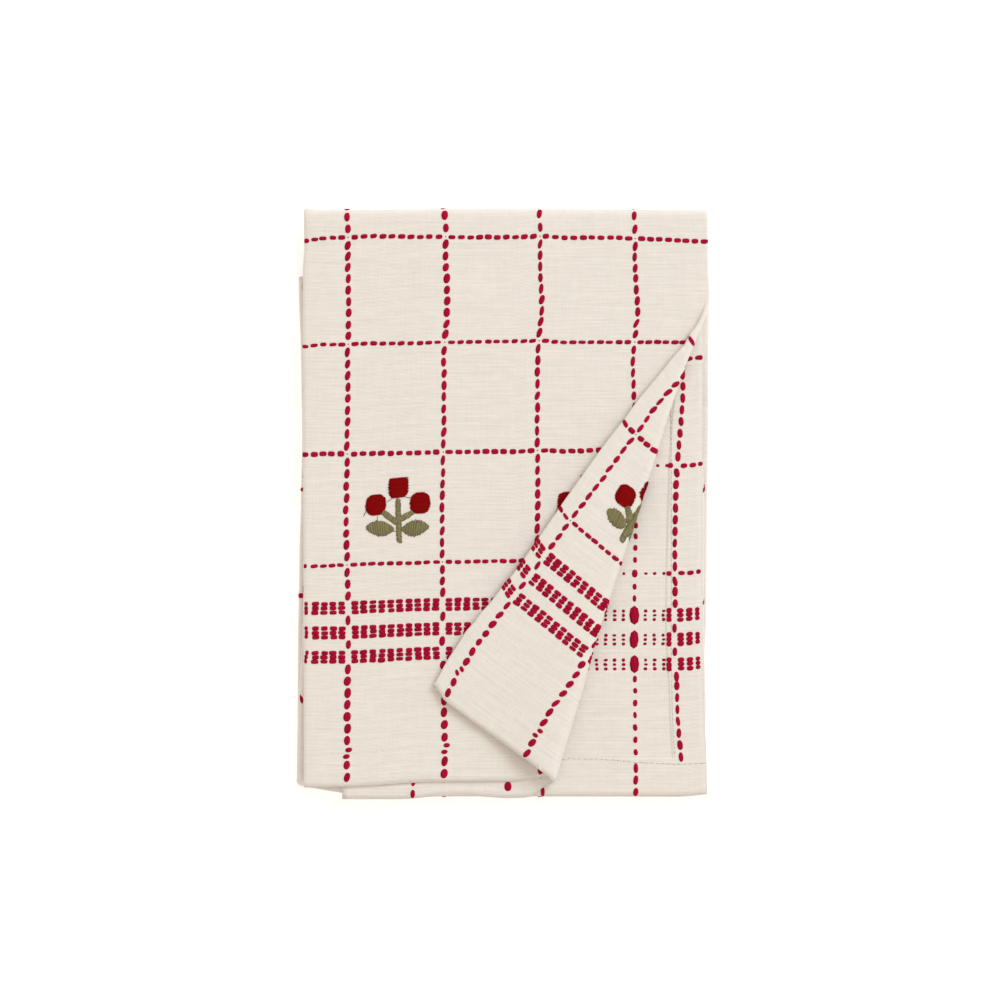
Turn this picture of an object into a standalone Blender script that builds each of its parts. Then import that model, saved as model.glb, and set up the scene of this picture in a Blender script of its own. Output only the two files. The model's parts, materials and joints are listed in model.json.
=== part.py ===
"""Tea towel, folded: one hemmed cloth in nine layers, with a corner turned back.

The two long edges are turned in to make a strip of three layers, the strip is folded back and
forth into three, and the lower right corner of the two top layers is turned back over a roll.

X runs across the strip and Y along it. Z is up. The script works in metres, and the origin is
the middle of the underside.
"""

import math
from collections import namedtuple

import bmesh
import bpy
from mathutils import Vector

# ---------------------------------------------------------------- sizes

MM = 0.001

CLOTH_THICKNESS = 1.0 * MM
LAYER_PITCH = 1.3 * MM  # from the middle of one layer to the middle of the next
TIGHT_FOLD = LAYER_PITCH / 2  # radius of a fold between two neighbouring layers
STRIP_HEIGHT = 2 * LAYER_PITCH  # lowest to highest layer of the strip of three
OUTER_REACH = TIGHT_FOLD + STRIP_HEIGHT + CLOTH_THICKNESS / 2  # of a fold across the strip

# Stretches of the cloth across its width, from one long hem to the other. "under" lies face
# down, "face" is the middle third, and "tuck" lies between the two.
Stretch = namedtuple("Stretch", "name cells")
ACROSS = (
    Stretch("under", 10),
    Stretch("left_fold", 8),
    Stretch("face", 10),
    Stretch("right_fold", 6),
    Stretch("tuck", 9),
)

# Stretches of the strip along its length, from the hem at the front to the hem underneath.
ALONG = (
    Stretch("front", 14),
    Stretch("top_fold", 8),
    Stretch("middle", 6),
    Stretch("bottom_fold", 8),
    Stretch("back", 8),
)

# The edges as they lie, in millimetres. Each row holds a place along the edge and the edge's
# own place there. An edge that runs up and down gives x for each y.
Edge = namedtuple("Edge", "at reach")
FRONT_LEFT = (Edge(-119, -83.5), Edge(96, -83.9), Edge(112, -82.9), Edge(124, -83.9))
BACK_LEFT = (Edge(-119, -86.5), Edge(-33, -86.0), Edge(5, -84.8), Edge(124, -84.2))
FRONT_RIGHT = (Edge(-119, 85.8), Edge(60, 86.3), Edge(82, 86.4), Edge(124, 85.8))
BACK_RIGHT = (Edge(-119, 85.0), Edge(-79, 84.6), Edge(-40, 85.8), Edge(55, 86.3), Edge(124, 85.8))
UNDER_HEM = (Edge(-119, 85.6), Edge(-108, 85.4), Edge(-79, 84.0), Edge(-60, 83.7), Edge(124, 83.7))
TUCK_HEM = (Edge(-119, -67.2), Edge(-60, -69.5), Edge(124, -70.4))

# The edges that run from left to right give y for each x.
TOP_FOLD = (Edge(-84, 123.9), Edge(-77, 123.1), Edge(0, 123.5), Edge(58, 123.1), Edge(86, 122.3))
BOTTOM_FOLD = (Edge(-87, -118.7), Edge(-58, -123.0), Edge(0, -123.3), Edge(86, -122.4))
BACK_HEM = (Edge(-87, 95.0), Edge(0, 95.8), Edge(86, 95.2))
FRONT_HEM = {
    "face": (
        Edge(-84, -119.0),
        Edge(-68, -118.7),
        Edge(-26, -116.6),
        Edge(2, -116.4),
        Edge(18, -115.0),
        Edge(86, -116.0),
    ),
    "tuck": (
        Edge(-70, -123.9),
        Edge(-43, -123.9),
        Edge(-26, -122.7),
        Edge(-12, -122.7),
        Edge(2, -123.5),
        Edge(18, -123.3),
        Edge(26, -120.0),
        Edge(38, -116.8),
        Edge(86, -116.0),
    ),
    "under": (
        Edge(-84, -118.9),
        Edge(-67, -121.0),
        Edge(-20, -122.8),
        Edge(74, -122.9),
        Edge(86, -122.0),
    ),
}

# The corner that is turned back rolls over a line across the front, from the right edge down
# to the front hem. The roll is tight at the edge and opens towards the hem.
ROLL_START = Vector((83.0, 81.3, 0)) * MM
ROLL_END = Vector((17.6, -114.4, 0)) * MM
ROLL_START_RADIUS = 0.8 * MM  # of the inner of the two layers
ROLL_END_RADIUS = 3.2 * MM
ROLL_OPENING = 2.4  # the higher, the later the roll opens
ROLL_STEPS = 8
LOOSE_CORNER_LEFT = -26 * MM  # the roll cuts no grid lines further left than this
REST_RADIUS = 0.8 * MM  # half the height at which the corner lies on the layer below it
REST_DISTANCES = (5 * MM, 11 * MM, 19 * MM, 30 * MM)  # beyond the roll, where the corner sinks

# The stack is a little higher in some places than in others.
UNEVENNESS = 0.035
SWELL_ACROSS = 31 * MM
SWELL_ALONG = 43 * MM

CLOTH_COLOUR = (0.83, 0.77, 0.68, 1.0)
CLOTH_ROUGHNESS = 0.9


# ---------------------------------------------------------------- helpers


def mix(first, last, share):
    return first + (last - first) * share


def ease(share):
    """Rises from 0 to 1 with level ends."""
    share = min(max(share, 0.0), 1.0)
    return share * share * (3 - 2 * share)


def follow(edge, place):
    """The reach of an edge at a place along it, in metres."""
    place /= MM
    for before, after in zip(edge, edge[1:]):
        if place <= after.at:
            share = ease((place - before.at) / (after.at - before.at))
            return mix(before.reach, after.reach, share) * MM
    return edge[-1].reach * MM


def grid_lines(stretches):
    """The (name, share) of each line of the grid, through the stretches in turn."""
    lines = []
    for name, cells in stretches:
        lines += [(name, cell / cells) for cell in range(cells)]
    return lines + [(stretches[-1].name, 1.0)]


# ---------------------------------------------------------------- folds


def rough_place(name, share):
    """Y of a line along the strip, before the edges' own unevenness."""
    top, bottom = follow(TOP_FOLD, 0), follow(BOTTOM_FOLD, 0)
    return {
        "front": mix(bottom, top, share),
        "top_fold": top,
        "middle": mix(top, bottom, share),
        "bottom_fold": bottom,
        "back": mix(bottom, follow(BACK_HEM, 0), share),
    }[name]


def strip_edges(name, share):
    """X of the strip's left fold, right fold, under hem and tucked hem, at a line along it."""
    y = rough_place(name, share)
    back_share = {"front": 0.0, "top_fold": 0.0, "middle": ease(share)}.get(name, 1.0)
    left = mix(follow(FRONT_LEFT, y), follow(BACK_LEFT, y), back_share)
    right = mix(follow(FRONT_RIGHT, y), follow(BACK_RIGHT, y), back_share)
    return left, right, follow(UNDER_HEM, y), follow(TUCK_HEM, y)


def fold_across(name, share, edges):
    """X and height in the strip of three, for a line across the cloth."""
    left, right, under_hem, tuck_hem = edges
    left_axis = left + LAYER_PITCH + CLOTH_THICKNESS / 2
    right_axis = right - TIGHT_FOLD - CLOTH_THICKNESS / 2
    turn = math.pi * share
    if name == "under":
        return mix(under_hem, left_axis, share), 0.0
    if name == "left_fold":
        return left_axis - LAYER_PITCH * math.sin(turn), LAYER_PITCH * (1 - math.cos(turn))
    if name == "face":
        return mix(left_axis, right_axis, share), STRIP_HEIGHT
    if name == "right_fold":
        sag = TIGHT_FOLD * (1 - math.cos(turn))
        return right_axis + TIGHT_FOLD * math.sin(turn), STRIP_HEIGHT - sag
    return mix(right_axis, tuck_hem, share), LAYER_PITCH


def front_hem_place(name, share, x):
    """Y of the front hem at x. A fold's hem runs from one layer's to the next."""
    between = {"left_fold": ("under", "face"), "right_fold": ("face", "tuck")}
    first, last = between.get(name, (name, name))
    return mix(follow(FRONT_HEM[first], x), follow(FRONT_HEM[last], x), ease(share))


def fold_along(name, share, x, height, front_hem):
    """The place of a point of the strip once the strip is folded back and forth."""
    top_axis = follow(TOP_FOLD, x) - OUTER_REACH
    bottom_axis = follow(BOTTOM_FOLD, x) + OUTER_REACH
    bottom_level = CLOTH_THICKNESS / 2 + STRIP_HEIGHT + TIGHT_FOLD
    top_level = bottom_level + STRIP_HEIGHT + 2 * TIGHT_FOLD
    top_radius = TIGHT_FOLD + height
    bottom_radius = TIGHT_FOLD + STRIP_HEIGHT - height
    turn = math.pi * share
    if name == "front":
        return Vector((x, mix(front_hem, top_axis, share), top_level + top_radius))
    if name == "top_fold":
        y = top_axis + top_radius * math.sin(turn)
        return Vector((x, y, top_level + top_radius * math.cos(turn)))
    if name == "middle":
        return Vector((x, mix(top_axis, bottom_axis, share), top_level - top_radius))
    if name == "bottom_fold":
        y = bottom_axis - bottom_radius * math.sin(turn)
        return Vector((x, y, bottom_level + bottom_radius * math.cos(turn)))
    back_hem = follow(BACK_HEM, x)
    return Vector((x, mix(bottom_axis, back_hem, share), bottom_level - bottom_radius))


FRONT_LEVEL = CLOTH_THICKNESS / 2 + 6 * LAYER_PITCH  # middle of the front's lowest layer
FACE_LEVEL = FRONT_LEVEL + STRIP_HEIGHT


# ---------------------------------------------------------------- corner turned back

ROLL_LINE = (ROLL_END - ROLL_START).normalized()
ROLL_SIDE = Vector((-ROLL_LINE.y, ROLL_LINE.x, 0))  # to the right of the line, looking down it


def inner_radius(along):
    share = max(along / (ROLL_END - ROLL_START).length, 0.0)
    return mix(ROLL_START_RADIUS, ROLL_END_RADIUS, share**ROLL_OPENING)


def half_way_round(along):
    """How much cloth the roll takes up, on the line between its two layers."""
    return math.pi * (inner_radius(along) + LAYER_PITCH / 2)


def loose_corner(bm):
    """The faces and edges of the two layers that the roll turns back, before it does."""
    faces = [
        face
        for face in bm.faces
        if face.calc_center_median().z > FRONT_LEVEL + LAYER_PITCH / 2
        and face.calc_center_median().x > LOOSE_CORNER_LEFT
        and face.calc_center_median().y < follow(TOP_FOLD, 0) - 2 * OUTER_REACH
    ]
    edges = {edge for face in faces for edge in face.edges}
    verts = {vert for face in faces for vert in face.verts}
    return faces + list(edges) + list(verts)


def crease_corner(bm):
    """Cuts grid lines along the roll, so that it bends without facets across it."""
    length = (ROLL_END - ROLL_START).length
    offsets = [
        (step / ROLL_STEPS * half_way_round(0), step / ROLL_STEPS * half_way_round(length))
        for step in range(ROLL_STEPS + 1)
    ]
    offsets += [(half_way_round(0) + rest, half_way_round(length) + rest) for rest in REST_DISTANCES]
    for at_start, at_end in offsets:
        start = ROLL_START + ROLL_SIDE * at_start
        line = ROLL_END + ROLL_SIDE * at_end - start
        bmesh.ops.bisect_plane(
            bm,
            geom=loose_corner(bm),
            dist=0.05 * MM,
            plane_co=start,
            plane_no=(-line.y, line.x, 0),
        )


def turn_back(point):
    """Where a point of the loose corner goes."""
    place = point - ROLL_START
    side = place.dot(ROLL_SIDE)
    if side <= 0 or point.z < FRONT_LEVEL + LAYER_PITCH / 4:
        return point
    along = place.dot(ROLL_LINE)
    inner = inner_radius(along)
    axis_level = FACE_LEVEL + inner
    radius = axis_level - point.z
    beyond = side - half_way_round(along)
    if beyond < 0:
        turn = math.pi * side / half_way_round(along)
        side = radius * math.sin(turn)
        level = axis_level - radius * math.cos(turn)
    else:
        side = -beyond
        sink = 2 * max(inner - REST_RADIUS, 0.0) * ease(beyond / REST_DISTANCES[-1])
        level = axis_level + radius - sink
    flat = ROLL_START + ROLL_LINE * along + ROLL_SIDE * side
    return Vector((flat.x, flat.y, level))


def swell(point):
    """Lifts or lowers a point in proportion to its height, so that layers never meet."""
    waves = math.sin(point.x / SWELL_ACROSS + 0.6) * math.cos(point.y / SWELL_ALONG)
    level = point.z
    if level > CLOTH_THICKNESS:
        level += UNEVENNESS * waves * (level - CLOTH_THICKNESS)
    return Vector((point.x, point.y, level))


# ---------------------------------------------------------------- towel


def towel_mesh():
    """The cloth's middle surface, folded from a flat grid."""
    across, along = grid_lines(ACROSS), grid_lines(ALONG)
    columns, rows = len(across) - 1, len(along) - 1
    bm = bmesh.new()
    bmesh.ops.create_grid(bm, x_segments=columns, y_segments=rows, size=0.5)
    for vert in bm.verts:
        column = across[round((vert.co.x + 0.5) * columns)]
        row = along[round((vert.co.y + 0.5) * rows)]
        x, height = fold_across(*column, strip_edges(*row))
        vert.co = fold_along(*row, x, height, front_hem_place(*column, x))
    crease_corner(bm)
    for vert in bm.verts:
        vert.co = swell(turn_back(vert.co))
    bmesh.ops.recalc_face_normals(bm, faces=bm.faces)
    mesh = bpy.data.meshes.new("towel")
    bm.to_mesh(mesh)
    bm.free()
    return mesh


def cloth_material():
    material = bpy.data.materials.new("cloth")
    material.use_nodes = True
    shader = material.node_tree.nodes["Principled BSDF"]
    shader.inputs["Base Color"].default_value = CLOTH_COLOUR
    shader.inputs["Roughness"].default_value = CLOTH_ROUGHNESS
    shader.inputs["Metallic"].default_value = 0.0
    return material


def add_towel(collection):
    towel = bpy.data.objects.new("towel", towel_mesh())
    collection.objects.link(towel)
    towel.data.materials.append(cloth_material())
    towel.data.shade_smooth()
    wall = towel.modifiers.new("wall", "SOLIDIFY")
    wall.thickness = CLOTH_THICKNESS
    wall.offset = 0.0
    return towel


def clear_scene():
    for obj in list(bpy.data.objects):
        bpy.data.objects.remove(obj, do_unlink=True)


def main():
    clear_scene()
    collection = bpy.data.collections.new("tea_towel")
    bpy.context.scene.collection.children.link(collection)
    add_towel(collection)


main()
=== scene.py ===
"""Dresses a folded tea towel: woven cloth, floating red yarn, embroidered sprigs and hem stitches.

The towel is drawn flat, in metres across (u) and along (v) the cloth, and folded() lays every
point of it where it lies on the table.
"""

import json
import math
from collections import namedtuple

import bmesh
import bpy
import numpy as np
from bpy.props import FloatProperty, FloatVectorProperty, IntProperty, PointerProperty
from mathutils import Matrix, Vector

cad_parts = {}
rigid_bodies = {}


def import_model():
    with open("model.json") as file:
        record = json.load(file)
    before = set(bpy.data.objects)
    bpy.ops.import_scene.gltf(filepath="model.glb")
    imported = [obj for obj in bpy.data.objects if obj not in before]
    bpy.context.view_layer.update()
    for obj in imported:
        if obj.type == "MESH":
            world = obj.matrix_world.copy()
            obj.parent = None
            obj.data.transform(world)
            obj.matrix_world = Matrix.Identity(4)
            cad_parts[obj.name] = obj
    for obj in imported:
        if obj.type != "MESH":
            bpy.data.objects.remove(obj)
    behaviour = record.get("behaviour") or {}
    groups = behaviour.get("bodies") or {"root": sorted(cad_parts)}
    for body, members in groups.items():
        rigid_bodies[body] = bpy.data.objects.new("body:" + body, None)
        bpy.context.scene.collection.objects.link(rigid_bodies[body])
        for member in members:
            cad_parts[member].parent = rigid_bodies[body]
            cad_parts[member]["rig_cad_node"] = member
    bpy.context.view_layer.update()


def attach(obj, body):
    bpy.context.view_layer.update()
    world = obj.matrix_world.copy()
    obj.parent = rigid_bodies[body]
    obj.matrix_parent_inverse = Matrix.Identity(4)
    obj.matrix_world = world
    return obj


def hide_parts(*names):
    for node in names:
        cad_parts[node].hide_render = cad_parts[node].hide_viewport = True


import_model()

bl_info = {
    "name": "Folded tea towel",
    "version": (1, 0, 0),
    "blender": (4, 5, 0),
    "location": "View3D > Sidebar > Towel",
    "description": "Weaves, embroiders, hems and folds a tea towel",
    "category": "Object",
}

MM = 0.001

# ---------------------------------------------------------------- how the towel lies

# Pairs along each edge as it lies, in millimetres: y and x for an edge that runs up and down,
# x and y for one that runs from left to right.
FRONT_LEFT = ((-119, -83.5), (96, -83.9), (112, -82.9), (124, -83.9))
BACK_LEFT = (
    (-119, -86.5), (-60, -86.2), (-24, -85.6), (5, -84.9), (28, -84.4), (56, -84.8), (95, -85.9),
    (124, -85.9),
)
FRONT_RIGHT = (
    (-119, 87.6), (-104, 88.4), (-94, 88.0), (-84, 86.3), (-74, 85.1), (-58, 84.3), (-15, 84.7),
    (8, 84.7), (25, 83.7), (52, 82.9), (60, 83.2), (68, 84.6), (76, 86.6), (84, 86.8), (94, 86.2),
    (124, 86.0),
)
BACK_RIGHT = ((-119, 85.0), (-79, 84.6), (-40, 85.8), (55, 86.6), (90, 86.8), (124, 86.0))
UNDER_HEM = ((-119, 85.6), (-108, 85.4), (-79, 84.0), (-60, 83.7), (124, 83.7))
TUCK_HEM = ((-119, -67.2), (-60, -69.5), (124, -70.4))
TOP_FOLD = ((-84, 123.9), (-77, 123.1), (0, 123.5), (58, 123.2), (86, 122.9))
BOTTOM_FOLD = ((-87, -118.7), (-58, -123.0), (0, -123.3), (86, -122.4))
BACK_HEM = ((-87, 95.0), (0, 95.8), (86, 95.2))
FACE_HEM = ((-84, -119.0), (-68, -118.7), (-26, -116.6), (2, -116.4), (18, -115.0), (86, -116.0))
TUCKED_HEM = (
    (-70, -123.9), (-43, -123.9), (-26, -122.7), (-12, -122.7), (2, -123.5), (10, -123.3),
    (20, -117.6), (28, -117.0), (79, -117.6), (88, -114.6),
)
LOWER_HEM = ((-84, -118.9), (-67, -121.0), (-20, -122.8), (74, -122.9), (86, -122.0))

# The solid's own folds, which the cloth here follows.
SOLID_THICKNESS = 1.0 * MM
LAYER_PITCH = 1.3 * MM
TIGHT_FOLD = LAYER_PITCH / 2
STRIP_HEIGHT = 2 * LAYER_PITCH
OUTER_REACH = TIGHT_FOLD + STRIP_HEIGHT + SOLID_THICKNESS / 2
LOWER_LEVEL = SOLID_THICKNESS / 2 + STRIP_HEIGHT + TIGHT_FOLD  # axis of the bottom fold
UPPER_LEVEL = LOWER_LEVEL + STRIP_HEIGHT + 2 * TIGHT_FOLD  # axis of the top fold
FRONT_LEVEL = UPPER_LEVEL + TIGHT_FOLD  # the front's lowest layer
FACE_LEVEL = FRONT_LEVEL + STRIP_HEIGHT

# Where the cloth, drawn flat, is divided. Across: the under third, the left fold, the face, the
# right fold and the tucked third. Along: the front, the top fold, the middle, the bottom fold and
# the back, which are rough places, because each thread meets the folds at its own.
FLAT_WIDTH = 496.2 * MM
FLAT_LENGTH = 710 * MM
ACROSS = np.array((0, 166.4, 170.6, 338.3, 340.4, 496.2)) * MM
ALONG = np.array((0, 238.9, 248.0, 486.0, 494.7, 710)) * MM
FACE, FRONT = 2, 0  # the face among the stretches across, and the front among those along
LAST_STRETCH = 4
ROUGH_TOP, ROUGH_BOTTOM = 119.7 * MM, -119.6 * MM
TURN_TO_BACK = 400 * MM  # the middle layers' side edges leave the front's here

ROLL_START = np.array((83.0, 81.3)) * MM
ROLL_END = np.array((17.6, -114.4)) * MM
ROLL_BOW = (  # along the roll, and how far it lies to the left there
    (-8, -1.4), (0, -0.4), (15, 0.5), (26, 1.15), (45, 1.25), (66, 0.85), (105, 0.8), (147, 1.1),
    (170, 0.2), (206, 0.1),
)
ROLL_LENGTH = float(np.linalg.norm(ROLL_END - ROLL_START))
ROLL_LINE = (ROLL_END - ROLL_START) / ROLL_LENGTH
ROLL_SIDE = np.array((-ROLL_LINE[1], ROLL_LINE[0]))
ROLL_START_RADIUS = 0.8 * MM
ROLL_END_RADIUS = 3.2 * MM
ROLL_OPENING = 2.4
ROLL_CUTS = (*np.linspace(0, 1, 13), 1.3, 1.7, 2.2, 2.9, 3.8, 5.0)  # shares of the way round it
REST_RADIUS = 0.8 * MM
REST_REACH = 30 * MM
SPRING = 1.2 * MM  # how far the turned corner's long edge lifts off the layer below
SPRING_REACH = 24 * MM

UNEVENNESS = 0.035
SWELL_ACROSS = 31 * MM
SWELL_ALONG = 43 * MM

# ---------------------------------------------------------------- what is woven and sewn

Line = namedtuple("Line", "first spacing count")
UPRIGHTS = Line(28.1 * MM, 40.0 * MM, 12)
CROSSWISE = MM * np.array(
    (92.9, 138.9, 184.9, 230.9, 276.9, 322.9, 361, 410.4, 455.5, 498, 531.8, 576.2, 620.6)
)
BAND_CENTRES = (53.8 * MM, 64.3 * MM, 74.8 * MM)
BAND_ROWS = (-1.85 * MM, 0.0, 1.85 * MM)
# Where the weave hides yarn at the folds: from and to u, from and to v, in millimetres.
SUNK = (
    (334, 345, 270, 284),
    (334, 345, 450, 665),
    (169.5, 176, 450, 460),
    (160, 172, 525, 538),
    (160, 172, 630, 665),
)
SHORT_AT = 170 * MM  # along the left fold, where the crosswise floats on the face are short
SHORT_REACH = 1.6 * MM
SHORT_TO = 110 * MM
SHORT_LENGTH = 0.42
PULLED_ROW = 8  # its floats are pulled along and spread at the left fold
PULLED_REACH = 6 * MM
PULLED_BY = 1.2 * MM
PULLED_SPREAD = 2.1
HEM = 15.9 * MM
SIDE_HEM = 14.4 * MM
HEM_LINE = 11.9 * MM  # the line past the side edge, turned over with the hem

# How far the pattern strays from its ruled places as it is woven and pulled, in millimetres.
WARP_STRAY_V = (0, 20, 40, 64, 93, 116, 139, 162, 185, 208, 231, 260)
WARP_STRAY = {
    0: (1.7, 1.3, 0.5, 0.8, 0.5, -0.1, -0.7, -0.8, -0.8, -0.8, -0.7, -0.6),
    4: (-1.1, -0.9, -0.6, 0.2, -0.5, -1.0, -0.3, 0.1, 0.2, 0.1, -0.9, -0.4),
    5: (-0.5, -0.6, -0.1, 0, 0, -0.3, 0.6, 1.2, 1.3, 1.3, 0.4, -0.5),
    6: (-0.4, -0.4, -0.2, 0, 0.1, 0.3, 0.6, 1.2, 1.5, 0.7, 0.2, -0.4),
    7: (0.5, 0.3, 0.2, 0.2, 0.4, 0.9, 1.5, 2.4, 2.2, 0.5, 0.4, -0.6),
    8: (-1.7, -2.1, -2.4, -2.4, -1.7, -0.7, -0.9, -0.9, -0.3, -0.2, -0.5, -1.3),
    9: (-0.6, -1.6, -3.2, -3.7, -3.9, -3.1, -2.8, -2.5, -2.0, -1.7, -1.5, -1.7),
    10: (-0.5, -2.0, -3.5, -4.4, -4.8, -4.8, -4.4, -3.9, -3.4, -2.7, -2.2, -1.9),
    11: (-1.7, -2.8, -3.8, -4.8, -5.5, -5.9, -5.8, -5.3, -4.6, -3.7, -2.8, -2.2),
}
HEM_STRAY_V = (0, 17, 27, 38, 86, 106, 132, 145, 157, 168, 180, 240)
HEM_STRAY = (-1.5, -1.25, -0.95, -0.9, -0.25, -0.15, -0.7, -1.7, -2.8, -3.6, -3.6, -3.0)
SIDE_HEM_V = (0, 15, 45, 69, 99, 140, 171, 260)
SIDE_HEM_STRAY = (-0.3, -0.3, -0.2, 1.1, 0.7, -0.5, -3.0, 0)
WEFT_STRAY_U = (0, 168, 177, 197, 216, 238, 256, 278, 300, 325, 338, 345, 365, 395, 496)
WEFT_STRAY_V = (0, 20, 40, 64, 93, 116, 139, 162, 185, 208, 231, 262, 560, 617, 710)
WEFT_STRAY = (
    (0.4, 0.6, 0.6, 0.3, 0, -0.1, 0.2, 0.5, 0.5, 0.5, 0.4, 0.1, -0.3, -0.8, -1.1),
    (1.0, 0.9, 0.8, 0.9, 0.6, 0.5, 0.2, 0.1, 0.1, 0.3, 0.6, 0.3, -0.1, -1.2, -2.0),
    (1.7, 1.2, 0.8, 0.9, 0.6, 0.5, -0.1, -0.4, -0.2, 0.2, 0.7, 0.6, 0, -1.7, -2.8),
    (1.6, 0.7, 0.1, 0.2, -0.3, -0.3, -0.4, -0.9, -0.6, 0.1, 0.7, 0.8, -0.2, -2.3, -3.4),
    (0.6, -0.3, -0.4, 0, -1.0, -0.9, -0.7, -1.5, -0.8, 0.2, 0.7, 1.0, -0.3, -2.5, -3.4),
    (0.1, -0.1, -0.1, -0.2, -1.3, -1.1, -1.4, -2.4, -1.1, 0, 0.8, 0.5, -0.8, -2.6, -3.2),
    (-0.4, 0.2, 0.5, 0.1, -1.1, -0.9, -1.0, -2.3, -1.2, -0.2, 0.7, 0.7, -1.0, -2.7, -3.1),
    (-1.1, -0.2, 0.5, 0.3, -1.0, -0.9, -1.0, -2.6, -1.6, -0.9, -0.4, -0.2, -0.9, -1.5, -1.8),
    (-1.8, -0.6, 0.2, 0.1, -1.2, -1.0, -0.9, -2.7, -2.2, -1.8, -1.6, -1.0, -0.6, -0.3, -0.5),
    (-2.5, -1.6, -0.3, -0.1, -2.0, -2.3, -2.4, -4.0, -3.0, -3.3, -3.6, -2.9, -1.6, -0.4, -0.4),
    (-3.4, -2.6, -1.4, -1.0, -2.7, -3.2, -3.3, -4.9, -4.5, -5.1, -5.5, -4.6, -2.5, -0.5, -0.4),
    (0,) * 15,
    (0,) * 15,
    (0, 0, 0, 0, 0.3, 0.6, 0.9, 1.2, 1.6, 2.0, 2.6, 2.6, 2.6, 2.6, 2.6),
    (0,) * 15,
)


def mix(first, last, share):
    return first + (last - first) * share


def ease(share):
    """Rises from 0 to 1 with level ends."""
    share = np.clip(share, 0.0, 1.0)
    return share * share * (3 - 2 * share)


def follow(edge, place):
    """How far an edge reaches at places along it, in metres."""
    at, reach = np.array(edge).T * MM
    k = np.clip(np.searchsorted(at, place) - 1, 0, len(edge) - 2)
    return mix(reach[k], reach[k + 1], ease((place - at[k]) / (at[k + 1] - at[k])))


# ---------------------------------------------------------------- folding


def rough_place(v):
    """Y along the strip for v, before the edges' own unevenness, and the share of the back."""
    top, bottom = ROUGH_TOP, ROUGH_BOTTOM
    y = np.interp(v, ALONG, (top - ALONG[1], top, top, bottom, bottom, bottom + ALONG[5] - ALONG[4]))
    return y, ease((v - TURN_TO_BACK) / (ALONG[3] - TURN_TO_BACK))


def strip_edges(v):
    y, back = rough_place(v)
    left = mix(follow(FRONT_LEFT, y), follow(BACK_LEFT, y), back)
    right = mix(follow(FRONT_RIGHT, y), follow(BACK_RIGHT, y), back)
    return left, right, follow(UNDER_HEM, y), follow(TUCK_HEM, y)


def fold_across(u, v):
    """Stretch, share of the stretch, x, and height in the strip of three layers."""
    left, right, under_hem, tuck_hem = strip_edges(v)
    left_axis = left + LAYER_PITCH + SOLID_THICKNESS / 2
    right_axis = right - TIGHT_FOLD - SOLID_THICKNESS / 2
    stretch = np.clip(np.searchsorted(ACROSS, u, side="right") - 1, 0, LAST_STRETCH)
    share = (u - ACROSS[stretch]) / (ACROSS[stretch + 1] - ACROSS[stretch])
    turn = np.pi * share
    x = np.choose(
        stretch,
        (
            mix(under_hem, left_axis, share),
            left_axis - LAYER_PITCH * np.sin(turn),
            mix(left_axis, right_axis, share),
            right_axis + TIGHT_FOLD * np.sin(turn),
            mix(right_axis, tuck_hem, share),
        ),
    )
    height = np.choose(
        stretch,
        (
            0 * u,
            LAYER_PITCH * (1 - np.cos(turn)),
            STRIP_HEIGHT + 0 * u,
            STRIP_HEIGHT - TIGHT_FOLD * (1 - np.cos(turn)),
            LAYER_PITCH + 0 * u,
        ),
    )
    return stretch, share, x, height


def front_hem_place(stretch, share, x):
    """Y of the front hem at x. A fold's hem runs from one layer's to the next."""
    lower, face, tucked = follow(LOWER_HEM, x), follow(FACE_HEM, x), follow(TUCKED_HEM, x)
    share = ease(share)
    return np.choose(stretch, (lower, mix(lower, face, share), face, mix(face, tucked, share), tucked))


def fold_stations(u, v):
    """V at which each stretch along the strip starts, for each u, and what the laying needs."""
    stretch, share, x, height = fold_across(u, v)
    hem = front_hem_place(stretch, share, x)
    top_axis = follow(TOP_FOLD, x) - OUTER_REACH
    bottom_axis = follow(BOTTOM_FOLD, x) + OUTER_REACH
    back_hem = follow(BACK_HEM, x)
    top_radius = TIGHT_FOLD + height
    bottom_radius = TIGHT_FOLD + STRIP_HEIGHT - height
    first = top_axis - hem
    second = first + np.pi * top_radius
    fourth = FLAT_LENGTH - (back_hem - bottom_axis)
    third = fourth - np.pi * bottom_radius
    stations = np.stack((0 * u, first, second, third, fourth, FLAT_LENGTH + 0 * u))
    return stations, (stretch, x, hem, top_axis, bottom_axis, top_radius, bottom_radius)


def row_ends(stations, row):
    """V at which each point's stretch along the strip starts and ends."""
    return (np.take_along_axis(stations, row[None] + step, 0)[0] for step in (0, 1))


def laid(u, v):
    """Where points of the cloth lie before the corner is turned back, and which are loose."""
    stations, facts = fold_stations(u, v)
    stretch, x, hem, top_axis, bottom_axis, top_radius, bottom_radius = facts
    row = np.clip((v[None] >= stations).sum(0) - 1, 0, LAST_STRETCH)
    start, end = row_ends(stations, row)
    share = (v - start) / (end - start)
    turn = np.pi * share
    y = np.choose(
        row,
        (
            hem + v,
            top_axis + top_radius * np.sin(turn),
            mix(top_axis, bottom_axis, share),
            bottom_axis - bottom_radius * np.sin(turn),
            bottom_axis + v - start,
        ),
    )
    z = np.choose(
        row,
        (
            UPPER_LEVEL + top_radius,
            UPPER_LEVEL + top_radius * np.cos(turn),
            UPPER_LEVEL - top_radius,
            LOWER_LEVEL + bottom_radius * np.cos(turn),
            LOWER_LEVEL - bottom_radius,
        ),
    )
    loose = (row == FRONT) & (stretch >= FACE)
    return np.stack((x, y, z), 1), loose


def inner_radius(along):
    return mix(ROLL_START_RADIUS, ROLL_END_RADIUS, np.maximum(along / ROLL_LENGTH, 0) ** ROLL_OPENING)


def half_way_round(along):
    return np.pi * (inner_radius(along) + LAYER_PITCH / 2)


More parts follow.
